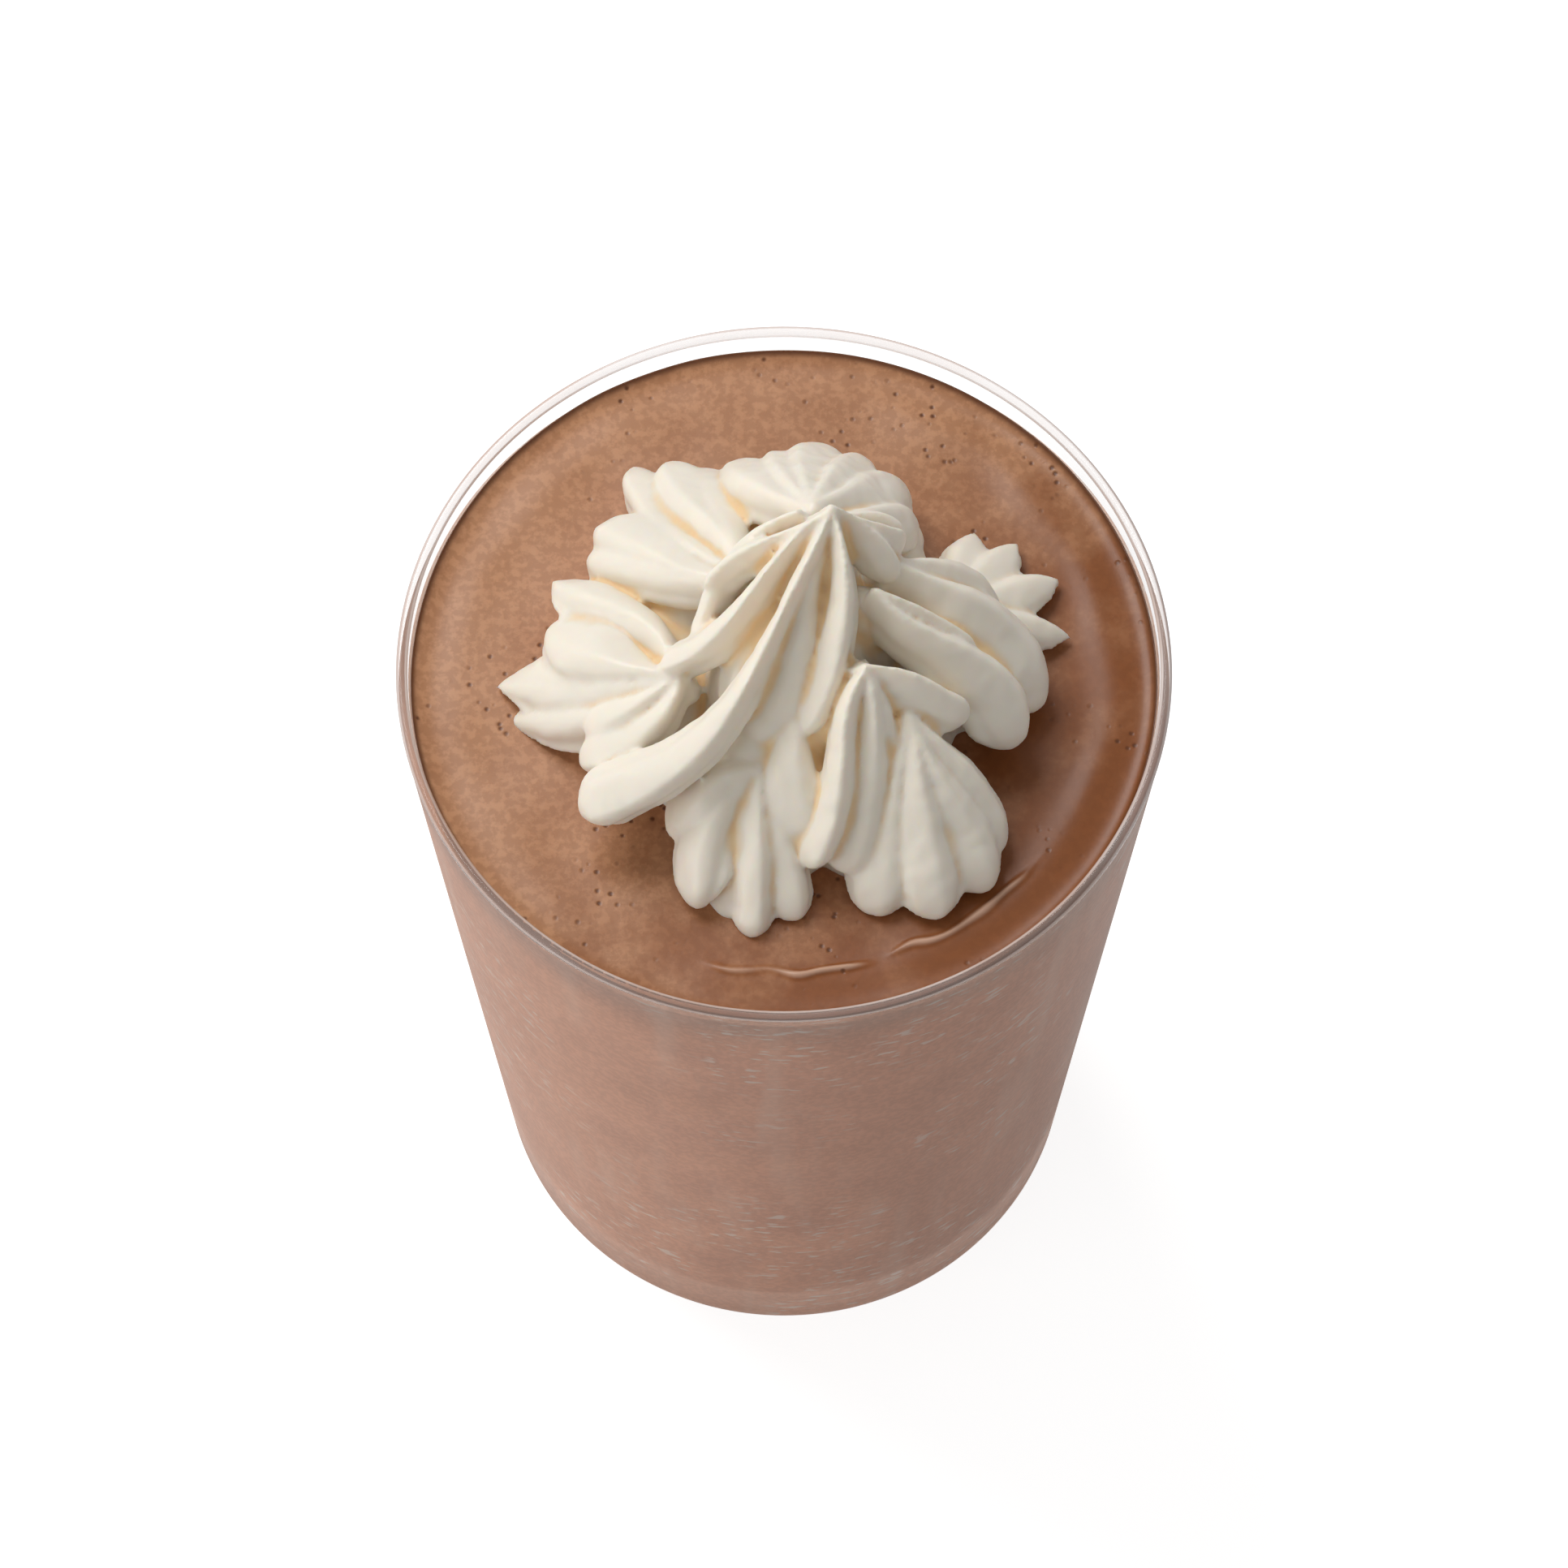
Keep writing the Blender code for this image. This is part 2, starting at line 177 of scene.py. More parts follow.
# A squeeze is a fan of ridges from one top, each `depth` deep at its start.
Squeeze = namedtuple("Squeeze", "x y top depth ridges")

SQUEEZES = {
    "peak": Squeeze(4.8, 6.5, 28.5, 8.0, (
        Ridge(-136, 38.2, 7.0, 34, -34, 3.0, 2.0, 5.4, 0.0, -1.3, 0.66),
        Ridge(-99, 21.0, 14.0, 28, -30, 2.0, 2.0, 3.6, 0.1),
        Ridge(-148, 22.6, 14.5, -8, -46, 1.5, 2.0, 3.2, 0.1),
        Ridge(-160, 15.0, 19.0, 10, 30, 1.0, 1.6, 2.4, 0.1),
        Ridge(-34, 9.5, 20.0, 20, -30, 1.0, 1.6, 3.0, 0.1),
        Ridge(6, 9.5, 20.0, -20, 30, 1.0, 1.6, 3.0, 0.1),
    )),
    "trough": Squeeze(3.8, 3.0, 25.0, 8.0, (
        Ridge(-116, 19.0, 12.5, 0, -6, 1.0, 3.0, 9.5, 0.0),
    )),
    "shoulder": Squeeze(1.5, 8.0, 25.0, 6.0, (
        Ridge(-135, 16.5, 14.5, -38, 31, 1.0, 1.6, 2.6, 0.1),
    )),
    "left": Squeeze(-11.5, -6.0, 14.5, 6.0, (
        Ridge(130, 21.8, 6.0, -35, 12, 1.0, 2.6, 5.6, 0.5),
        Ridge(144, 18.0, 6.5, 20, -10, 1.2, 3.0, 9.0, 0.2),
        Ridge(160, 18.4, 4.0, 30, 0, 0.4, 3.0, 7.0, 0.4),
        Ridge(165, 21.4, 2.0, 30, 10, 0.2, 2.6, 7.5, 0.9),
        Ridge(176, 19.3, 1.0, 40, -3, 0.6, 2.6, 7.5, 0.8),
        Ridge(-149, 13.6, 6.0, 60, -42, 1.8, 2.4, 5.0, 0.1),
        Ridge(-160, 11.6, 8.0, 20, -7, 1.0, 2.2, 4.6, 0.2),
    )),
    "back left": Squeeze(-4.0, 4.0, 18.0, 6.0, (
        Ridge(103, 21.5, 5.0, -6, -6, 1.4, 3.0, 6.0, 0.3),
        Ridge(113, 23.8, 5.0, -11, -6, 1.0, 3.0, 6.4, 0.5),
        Ridge(122, 25.7, 3.0, 16, -17, 0.2, 2.6, 4.2, 0.5),
        Ridge(143, 21.4, 6.0, 35, 6, 1.6, 3.0, 6.0, 0.0),
        Ridge(152, 20.6, 5.0, 30, 6, 1.6, 3.0, 5.6, 0.0),
    )),
    "back": Squeeze(3.5, 9.5, 22.5, 6.0, (
        Ridge(121, 19.0, 5.0, 20, -14, 1.6, 3.0, 6.0, 0.3),
        Ridge(104, 18.0, 5.0, 10, -14, 1.6, 3.0, 5.2, 0.3),
        Ridge(89, 19.2, 4.0, 10, -10, 1.4, 3.0, 6.6, 0.2),
        Ridge(71, 17.8, 5.0, 6, -3, 1.5, 3.0, 5.2, 0.3),
        Ridge(51, 17.0, 5.0, -12, -8, 1.5, 3.0, 6.6, 0.2),
        Ridge(31, 15.0, 3.0, 0, -10, 1.5, 3.0, 6.0, 0.2),
    )),
    "back right": Squeeze(5.5, 9.0, 21.0, 6.0, (
        Ridge(38, 12.4, 8.0, -10, 13, 1.5, 2.4, 4.8, 0.1),
        Ridge(-5, 8.0, 15.5, 20, -60, 1.0, 2.0, 3.2, 0.0),
    )),
    "right": Squeeze(9.5, 0.0, 21.5, 8.0, (
        Ridge(-34, 20.2, 5.5, -20, -50, 2.5, 2.4, 6.6, 0.0),
        Ridge(-16, 12.7, 13.5, 3, -2, 1.0, 2.0, 3.0, 0.1),
    )),
    "far right": Squeeze(11.0, 4.0, 20.0, 7.0, (
        Ridge(-27, 20.4, 4.0, 10, -27, 2.5, 3.0, 8.6, 0.0),
        Ridge(4, 14.0, 6.0, 10, -20, 2.0, 3.0, 7.0, 0.0),
    )),
    "right foot": Squeeze(18.0, 5.0, 6.0, 4.0, (
        Ridge(77, 13.6, 2.0, 0, 0, 0.8, 4.0, 5.4, 1.0),
        Ridge(56, 14.2, 2.0, 0, 0, 0.8, 4.0, 5.0, 1.0),
        Ridge(29, 14.4, 2.0, 0, 0, 0.8, 4.0, 4.8, 1.0),
        Ridge(-1, 13.9, 2.0, 0, 0, 0.8, 4.0, 4.0, 1.0),
    )),
    "hook": Squeeze(8.3, -8.5, 20.5, 7.0, (
        Ridge(-110, 18.5, 5.5, -20, -35, 2.5, 2.2, 3.6, 0.0),
        Ridge(-7, 12.6, 12.0, 10, 8, 2.0, 2.0, 3.2, 0.0),
        Ridge(-96, 17.6, 4.5, 30, 0, 1.0, 2.4, 6.8, 0.0),
        Ridge(-70, 10.5, 8.0, 20, -12, 1.0, 2.2, 3.4, 0.1),
    )),
    "middle": Squeeze(0.5, -11.5, 15.0, 6.0, (
        Ridge(-82, 13.6, 4.5, -1, 20, 1.6, 4.0, 8.0, 0.2),
    )),
    "front right": Squeeze(13.0, -11.5, 15.0, 5.0, (
        Ridge(-79, 18.9, 2.0, 0, 7, 1.6, 2.6, 5.8, 0.0),
        Ridge(-59, 17.7, 2.0, -10, -8, 1.8, 2.6, 5.8, 0.0),
        Ridge(-44, 15.3, 2.5, 8, -12, 1.8, 2.6, 5.2, 0.0),
        Ridge(-101, 18.2, 1.5, -5, 6, 1.0, 2.6, 6.0, 0.0),
    )),
    "front left": Squeeze(-3.0, -15.0, 11.0, 5.0, (
        Ridge(-153, 11.8, 4.0, -22, 9, 2.5, 4.0, 7.0, 0.1),
        Ridge(-118, 15.4, 2.0, -22, 40, 1.5, 3.0, 5.6, 0.1),
        Ridge(-91, 16.5, 1.0, 1, -1, 1.5, 2.4, 3.6, 0.0),
        Ridge(-73, 15.4, 1.5, -10, -8, 1.0, 3.0, 4.4, 0.0),
        Ridge(-104, 14.6, 0.5, 0, 0, 1.0, 3.0, 5.0, 0.1),
    )),
}

MOUNDS = (
    Mound(0.0, -1.0, 8.0, 19.5, 19.0, 0),
    Mound(1.5, -1.0, 19.8, 14.0, 10.0, -120),
    Mound(3.5, 4.0, 25.0, 7.0, 5.0, -110),
    Mound(-13.0, -1.0, 8.5, 12.0, 12.0, 0),
    Mound(-7.0, 9.0, 11.3, 12.0, 11.0, 120),
    Mound(4.0, 12.0, 13.0, 12.0, 9.0, 0),
    Mound(15.0, 1.0, 10.8, 9.0, 7.0, -30),
    Mound(9.0, -15.0, 9.5, 8.0, 9.0, 0),
    Mound(-2.0, -17.0, 6.5, 8.0, 8.0, 0),
    Mound(3.5, -9.5, 16.0, 7.0, 6.0, 0),
    Mound(8.0, 0.5, 19.0, 6.0, 5.0, 0),
    Mound(-3.0, -12.5, 12.0, 7.0, 6.0, 0),
)


class TumblerSettings(bpy.types.PropertyGroup):
    """Sizes and finish of the tumbler."""

    height: bpy.props.FloatProperty(
        name="Height", description="From the table to the rim", default=GLASS_HIGH[2], unit="LENGTH")
    rim_radius: bpy.props.FloatProperty(
        name="Rim radius", description="Outer radius at the rim", default=GLASS_HIGH[0], unit="LENGTH")
    base_radius: bpy.props.FloatProperty(
        name="Base radius", description="Where the wall would meet the table",
        default=33.6 * MM, unit="LENGTH")
    rim_wall: bpy.props.FloatProperty(
        name="Rim wall", description="Thickness of the lip", default=1.2 * MM, unit="LENGTH")
    foot_wall: bpy.props.FloatProperty(
        name="Foot wall", description="Thickness of the wall at its foot", default=2.4 * MM, unit="LENGTH")
    floor_thickness: bpy.props.FloatProperty(
        name="Floor", description="Thickness of the floor", default=7.0 * MM, unit="LENGTH")
    foot_corner: bpy.props.FloatProperty(
        name="Foot corner", description="Radius of the outer corner at the table",
        default=5.5 * MM, unit="LENGTH")
    floor_corner: bpy.props.FloatProperty(
        name="Floor corner", description="Radius of the inner corner", default=6.0 * MM, unit="LENGTH")
    rim_clear: bpy.props.FloatProperty(
        name="Clear rim", description="Share of the light that the lip lets into the glass", default=0.2,
        min=0, max=1, subtype="FACTOR")
    rim_straight: bpy.props.FloatProperty(
        name="Straight through rim", description="Share of the light that crosses the lip straight",
        default=0.64, min=0, max=1, subtype="FACTOR")
    # The lip's thin lines are painted reflection: a milky colour where the glass is seen edge on
    rim_reflection_colour: bpy.props.FloatVectorProperty(
        name="Rim", description="Colour of the thin lines along the lip", subtype="COLOR",
        size=3, default=(0.70, 0.53, 0.46), min=0, max=1)
    thin_straight: bpy.props.FloatProperty(
        name="Straight under rim", description="Share of the light that leaves the band there straight",
        default=0.88, min=0, max=1, subtype="FACTOR")
    glass_colour: bpy.props.FloatVectorProperty(
        name="Glass", description="Faint tint of the clear glass", subtype="COLOR",
        size=3, default=(0.955, 0.975, 0.97), min=0, max=1)
    mist_line: bpy.props.FloatProperty(
        name="Mist line", description="Height up to which the wall is misted",
        default=109.3 * MM, unit="LENGTH")
    mist_lean: bpy.props.FloatProperty(
        name="Mist lean", description="How much higher the mist reaches in front",
        default=1.9 * MM, unit="LENGTH")
    mist_colour: bpy.props.FloatVectorProperty(
        name="Mist", description="Colour of the fine drops on the cold wall", subtype="COLOR",
        size=3, default=(1.0, 0.60, 0.435), min=0, max=1)
    run_colour: bpy.props.FloatVectorProperty(
        name="Runs", description="Colour of the faint runs down the mist", subtype="COLOR",
        size=3, default=(1.0, 0.76, 0.62), min=0, max=1)
    # Painted highlights: short pale flecks where the drops catch the light
    fleck_highlight_colour: bpy.props.FloatVectorProperty(
        name="Flecks", description="Colour of the short pale flecks in the mist", subtype="COLOR",
        size=3, default=(1.0, 0.87, 0.77), min=0, max=1)
    mist_clear: bpy.props.FloatProperty(
        name="Seen through", description="Share of the light that passes the misted wall", default=0.62,
        min=0, max=1, subtype="FACTOR")
    mist_roughness: bpy.props.FloatProperty(
        name="Mist roughness", description="How much the mist blurs the drink", default=0.34,
        min=0, max=1, subtype="FACTOR")


class DrinkSettings(bpy.types.PropertyGroup):
    """Level, surface and colours of the milkshake."""

    level: bpy.props.FloatProperty(
        name="Level", description="Height of the drink's surface", default=DRINK_HIGH[2], unit="LENGTH")
    overlap: bpy.props.FloatProperty(
        name="Overlap", description="How far the drink reaches into the wall",
        default=0.1 * MM, unit="LENGTH")
    meniscus: bpy.props.FloatProperty(
        name="Meniscus", description="How high the drink climbs the wall", default=1.0 * MM, unit="LENGTH")
    fold: bpy.props.FloatProperty(
        name="Fold", description="Height of the thin fold in front of the cream",
        default=0.45 * MM, unit="LENGTH")
    colour: bpy.props.FloatVectorProperty(
        name="Chocolate", description="Main colour of the drink", subtype="COLOR",
        size=3, default=(0.27, 0.087, 0.025), min=0, max=1)
    # This lighter colour is both the clouds of foam and the painted sheen and light at the back left
    froth_and_sheen_colour: bpy.props.FloatVectorProperty(
        name="Froth", description="Colour of the lighter froth", subtype="COLOR",
        size=3, default=(0.535, 0.265, 0.135), min=0, max=1)
    # A painted highlight along the thin fold, where it catches the light
    fold_highlight_colour: bpy.props.FloatVectorProperty(
        name="Fold colour", description="Colour along the thin fold", subtype="COLOR",
        size=3, default=(0.66, 0.42, 0.30), min=0, max=1)
    pit_colour: bpy.props.FloatVectorProperty(
        name="Pits", description="Colour in the small bubbles", subtype="COLOR",
        size=3, default=(0.13, 0.042, 0.014), min=0, max=1)
    edge: bpy.props.FloatVectorProperty(
        name="Dark edge", description="Radii between which the drink darkens towards the wall",
        size=2, default=(39.8 * MM, 40.5 * MM), unit="LENGTH")
    roughness: bpy.props.FloatProperty(
        name="Roughness", description="Roughness of the surface",
        default=0.33, min=0, max=1, subtype="FACTOR")


class CreamSettings(bpy.types.PropertyGroup):
    """Fineness and colours of the whipped cream."""

    voxel: bpy.props.FloatProperty(
        name="Fineness", description="Width of the faces", default=0.36 * MM, unit="LENGTH")
    colour: bpy.props.FloatVectorProperty(
        name="Cream", description="Colour of the open surface", subtype="COLOR",
        size=3, default=(0.89, 0.825, 0.715), min=0, max=1)
    # Painted shade: the warm yellow that the deep folds take on from light bounced inside them
    hollow_shade_colour: bpy.props.FloatVectorProperty(
        name="Hollows", description="Warmer colour down in the folds", subtype="COLOR",
        size=3, default=(0.88, 0.645, 0.37), min=0, max=1)
    roughness: bpy.props.FloatProperty(
        name="Roughness", description="Roughness of the surface",
        default=0.42, min=0, max=1, subtype="FACTOR")


class StageSettings(bpy.types.PropertyGroup):
    """Camera, floor and light."""

    elevation: bpy.props.FloatProperty(
        name="Elevation", description="Camera's angle above the horizon",
        default=radians(64.47), subtype="ANGLE")
    distance: bpy.props.FloatProperty(
        name="Distance", description="From the camera to the point it looks at",
        default=0.756, unit="LENGTH")
    look_height: bpy.props.FloatProperty(
        name="Look height", description="Height of the point it looks at",
        default=81.76 * MM, unit="LENGTH")
    lens: bpy.props.FloatProperty(
        name="Lens", description="Focal length in millimetres for a 36 mm frame", default=154.7)
    floor_size: bpy.props.FloatProperty(
        name="Floor", description="Width of the floor", default=6.0, unit="LENGTH")
    key_power: bpy.props.FloatProperty(
        name="Key light", description="Power of the large soft light behind and left", default=5.1)
    fill_power: bpy.props.FloatProperty(
        name="Fill light", description="Power of the soft light in front and left", default=3.6)
    sky: bpy.props.FloatProperty(
        name="Sky", description="Strength of the even light from all sides", default=0.37)


def settings(context):
    scene = context.scene
    return scene.shake_tumbler, scene.shake_drink, scene.shake_cream, scene.shake_stage


def add_object(name, data):
    obj = bpy.data.objects.new(name, data)
    bpy.context.scene.collection.objects.link(obj)
    return obj


def mesh_object(name, bm):
    mesh = bpy.data.meshes.new(name)
    bm.to_mesh(mesh)
    bm.free()
    return add_object(name, mesh)


def settle(obj):
    """Puts the evaluated mesh in place of the object's own and drops its modifiers."""
    graph = bpy.context.evaluated_depsgraph_get()
    mesh = bpy.data.meshes.new_from_object(obj.evaluated_get(graph))
    obj.modifiers.clear()
    obj.data = mesh


def arc(centre_x, centre_z, radius, start, end, steps):
    """Points (x, z) along an arc from the start angle to the end angle, in degrees."""
    points = []
    for step in range(steps + 1):
        angle = radians(start + (end - start) * step / steps)
        points.append((centre_x + radius * cos(angle), centre_z + radius * sin(angle)))
    return points


def turned(name, profile, segments):
    """A closed turned mesh from (x, z) points that run down its outer side."""
    bm = bmesh.new()
    points = [bm.verts.new((x, 0, z)) for x, z in profile]
    for first, second in zip(points, points[1:]):
        bm.edges.new((first, second))
    obj = mesh_object(name, bm)
    screw = obj.modifiers.new("Screw", "SCREW")
    screw.steps = segments
    screw.render_steps = segments
    screw.use_merge_vertices = True
    screw.merge_threshold = NEAR
    settle(obj)
    obj.data.shade_smooth()
    return obj


class Walls:
    """The tumbler's outer and inner walls as radii over height."""

    def __init__(self, tumbler):
        self.size = tumbler

    def outer(self, z):
        size = self.size
        return size.base_radius + (size.rim_radius - size.base_radius) * z / size.height

    def inner(self, z):
        size = self.size
        return self.outer(z) - size.foot_wall - (size.rim_wall - size.foot_wall) * z / size.height

    def corner(self, radius_at, floor, radius, steps):
        """The rounded corner between a flat floor and a leaning wall, from the wall down to the floor."""
        tilt = atan2(radius_at(self.size.height) - radius_at(floor), self.size.height - floor)
        centre_x = radius_at(floor) - radius * (1 / cos(tilt) - tan(tilt))
        return arc(centre_x, floor + radius, radius, -tilt * 180 / pi, -90, steps)


def run_down(radius_at, high, low, steps):
    """Points down a leaning wall, both ends included."""
    heights = [high + (low - high) * step / steps for step in range(steps + 1)]
    return [(radius_at(z), z) for z in heights]


class Shader:
    """Builds a node tree in which each call adds a node and links what it is given."""

    def __init__(self, tree):
        self.tree = tree

    def add(self, kind, values=None, **options):
        """A new node with its options set, and its sockets set or linked."""
        node = self.tree.nodes.new(kind)
        for name, value in options.items():
            setattr(node, name, value)
        for socket, value in (values or {}).items():
            if isinstance(value, bpy.types.NodeSocket):
                self.tree.links.new(value, node.inputs[socket])
            else:
                node.inputs[socket].default_value = value
        return node

    def noise(self, place, scale, detail=2.0, roughness=0.5):
        values = {"Vector": place, "Scale": scale, "Detail": detail, "Roughness": roughness}
        return self.add("ShaderNodeTexNoise", values).outputs["Fac"]

    def spread(self, value, low, high, out_low=0.0, out_high=1.0):
        """The value moved from one range to another along an S, and held at both ends."""
        values = {"Value": value, "From Min": low, "From Max": high, "To Min": out_low, "To Max": out_high}
        return self.add("ShaderNodeMapRange", values, interpolation_type="SMOOTHSTEP").outputs["Result"]

    def stretch(self, place, scale):
        """Places at another scale along each axis, for patches that are drawn out."""
        return self.add("ShaderNodeMapping", {"Vector": place, "Scale": scale}).outputs["Vector"]

    def mottling(self, place, scale, detail, low, high, roughness=0.5):
        """Soft patches that run from 0 to 1 between two levels of a noise."""
        values = {
            "Place": place, "Scale": scale, "Detail": detail, "Roughness": roughness,
            "Low": low, "High": high,
        }
        return self.add("ShaderNodeGroup", values, node_tree=mottling_group()).outputs["Patches"]

    def mix(self, share, first, second):
        values = {0: share, 6: first, 7: second}
        return self.add("ShaderNodeMix", values, data_type="RGBA").outputs[2]

    def math(self, operation, first, second=0.0):
        return self.add("ShaderNodeMath", {0: first, 1: second}, operation=operation).outputs[0]

    def bump(self, height, distance, strength=1.0):
        values = {"Height": height, "Distance": distance, "Strength": strength}
        return self.add("ShaderNodeBump", values).outputs["Normal"]


def mottling_group():
    """The node group that every finish takes its soft patches from. It is built once."""
    group = bpy.data.node_groups.get("Soft mottling")
    if group:
        return group
    group = bpy.data.node_groups.new("Soft mottling", "ShaderNodeTree")
    group.interface.new_socket("Place", in_out="INPUT", socket_type="NodeSocketVector")
    for name in ("Scale", "Detail", "Roughness", "Low", "High"):
        group.interface.new_socket(name, in_out="INPUT", socket_type="NodeSocketFloat")
    group.interface.new_socket("Patches", in_out="OUTPUT", socket_type="NodeSocketFloat")
    shader = Shader(group)
    given = shader.add("NodeGroupInput").outputs
    grain = shader.noise(given["Place"], given["Scale"], given["Detail"], given["Roughness"])
    patches = shader.spread(grain, given["Low"], given["High"])
    shader.add("NodeGroupOutput", {"Patches": patches})
    return group


def new_material(name):
    """A material, what builds its nodes, its surface shader, and the places in the object's own frame."""
    material = bpy.data.materials.new(name)
    material.use_nodes = True
    shader = Shader(material.node_tree)
    surface = material.node_tree.nodes["Principled BSDF"]
    place = shader.add("ShaderNodeTexCoord").outputs["Object"]
    return material, shader, surface, place


def opaque(colour):
    return (*colour, 1.0)


def let_light_pass(shader, surface, straight=0.0):
    """Lets the light for what the glass holds cross it straight, and a share of all other light too."""
    paths = shader.add("ShaderNodeLightPath").outputs
    crossing = shader.math("MAXIMUM", paths["Is Shadow Ray"], paths["Is Diffuse Ray"])
    crossing = shader.math("MAXIMUM", crossing, straight)
    through = shader.add("ShaderNodeBsdfTransparent").outputs["BSDF"]
    both = shader.add("ShaderNodeMixShader", {0: crossing, 1: surface.outputs["BSDF"], 2: through})
    shader.tree.links.new(both.outputs["Shader"], shader.tree.nodes["Material Output"].inputs["Surface"])


def tinted_glass(name, clear, tint):
    """A smooth glass whose tint is fainter in soft patches."""
    material, shader, surface, place = new_material(name)
    patches = shader.mottling(place, 60.0, 2.0, 0.3, 0.7)
    fainter = [0.4 + 0.6 * channel for channel in tint]
    colour = shader.mix(patches, opaque(tint), opaque(fainter))
    shader.tree.links.new(colour, surface.inputs["Base Color"])
    surface.inputs["Roughness"].default_value = 0.02
    surface.inputs["IOR"].default_value = 1.5
    surface.inputs["Transmission Weight"].default_value = clear
    return material, shader, surface


def clear_glass_material(tumbler):
    """The inside of the wall and the underside of the foot."""
    material, shader, surface = tinted_glass("Clear glass", 1.0, tumbler.glass_colour)
    let_light_pass(shader, surface)
    return material


def rim_glass_material(tumbler):
    """The lip, seen through apart from its steep edges, where a painted reflection shows as thin lines."""
    material, shader, surface = tinted_glass("Rim glass", tumbler.rim_clear, tumbler.rim_reflection_colour)
    facing = shader.add("ShaderNodeLayerWeight").outputs["Facing"]
    # Seen edge on, the lip shows its painted reflection colour instead of letting light straight through
    straight = shader.spread(facing, LINES_FULL, LINES_START, 0.0, tumbler.rim_straight)
    let_light_pass(shader, surface, straight)
    return material


def thin_glass_material(tumbler):
    """The clear band under the lip, which light leaves almost straight."""
    material, shader, surface = tinted_glass("Thin glass", 1.0, tumbler.glass_colour)
    leaving = shader.add("ShaderNodeNewGeometry").outputs["Backfacing"]
    let_light_pass(shader, surface, shader.math("MULTIPLY", leaving, tumbler.thin_straight))
    return material


def misted_glass_material(tumbler):
    """The outside of the wall, dulled by fine drops, with faint runs down it and short pale flecks of
    painted highlight.
    """
    material, shader, surface, place = new_material("Misted glass")
    drops = shader.mottling(place, 1300.0, 3.0, 0.4, 0.62)
    cloud = shader.mottling(place, 90.0, 3.0, 0.3, 0.75)
    grain = shader.math("MULTIPLY", drops, 0.5)
    grain = shader.math("ADD", grain, shader.math("MULTIPLY", cloud, 0.5))
    dull = [channel * 0.76 for channel in tumbler.mist_colour]
    colour = shader.mix(grain, opaque(dull), opaque(tumbler.mist_colour))

    drawn_down = shader.stretch(place, (170.0, 170.0, 16.0))
    runs = shader.math("MULTIPLY", shader.mottling(drawn_down, 1.0, 3.0, 0.5, 0.75), 0.45)
    colour = shader.mix(runs, colour, opaque(tumbler.run_colour))

    # Painted highlights: short pale flecks, drawn out across the wall, where the drops catch the light
    drawn_across = shader.stretch(place, (420.0, 420.0, 1300.0))
    patches = shader.mottling(place, 45.0, 2.0, 0.42, 0.55)
    glints = shader.math("MULTIPLY", shader.mottling(drawn_across, 1.0, 1.0, 0.59, 0.70), patches)
    colour = shader.mix(glints, colour, opaque(tumbler.fleck_highlight_colour))
    shader.tree.links.new(colour, surface.inputs["Base Color"])
    surface.inputs["Roughness"].default_value = tumbler.mist_roughness
    surface.inputs["IOR"].default_value = 1.33
    surface.inputs["Specular IOR Level"].default_value = 0.1
    surface.inputs["Transmission Weight"].default_value = tumbler.mist_clear
    shader.tree.links.new(shader.bump(drops, 0.02 * MM, 0.5), surface.inputs["Normal"])
    let_light_pass(shader, surface)
    return material


